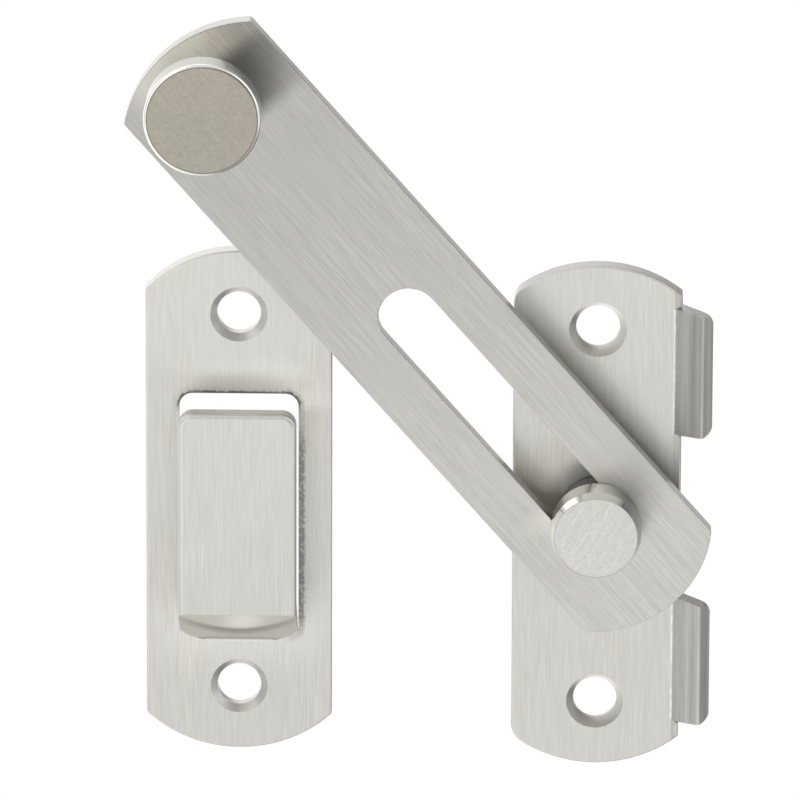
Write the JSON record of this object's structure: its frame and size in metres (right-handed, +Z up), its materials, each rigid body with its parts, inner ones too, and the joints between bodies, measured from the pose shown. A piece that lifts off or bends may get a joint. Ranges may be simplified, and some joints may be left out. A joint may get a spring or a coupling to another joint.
{
  "type": "sliding door bolt",
  "caption": "Swinging and sliding bar latch: a slotted flat arm with a grip knob turns on a plate's stud and drops behind the hook of a separate strike plate.",
  "frame": {"origin": "midway between the two screw holes of the pivot plate, at the plate's back", "axes": "+Z up along the pivot plate, -Y out from the wall toward the viewer, +X away from the strike plate"},
  "size_m": [0.104, 0.0256, 0.1415],
  "materials": {
    "strike_plate_steel": "brushed up and down",
    "pivot_plate_steel": "brushed up and down",
    "arm_steel": "brushed along its length",
    "stud_steel": "brushed face with a bright turned side",
    "knob_steel": "fine satin face with a bright turned side",
    "screw_steel": "plain",
    "bush_nylon": "matte"
  },
  "bodies": {
    "plates": {"strike_plate": "strike_plate_steel", "pivot_plate": "pivot_plate_steel", "pivot_stud": "stud_steel", "stud_screw": "screw_steel"},
    "swivel": {"slot_bush": "bush_nylon"},
    "arm": {"swing_arm": "arm_steel", "grip_knob": "knob_steel", "knob_screw": "screw_steel"}
  },
  "joints": [
    {"name": "arm_swing", "type": "hinge", "parent": "plates", "child": "swivel", "pos_m": [0, 0, 0.001], "axis": [0, -1, 0], "range_deg": [-40.85, 49.15]},
    {"name": "arm_slide", "type": "slide", "parent": "swivel", "child": "arm", "axis": [0.6541, 0, -0.7564], "range_m": [0, 0.0235]}
  ]
}
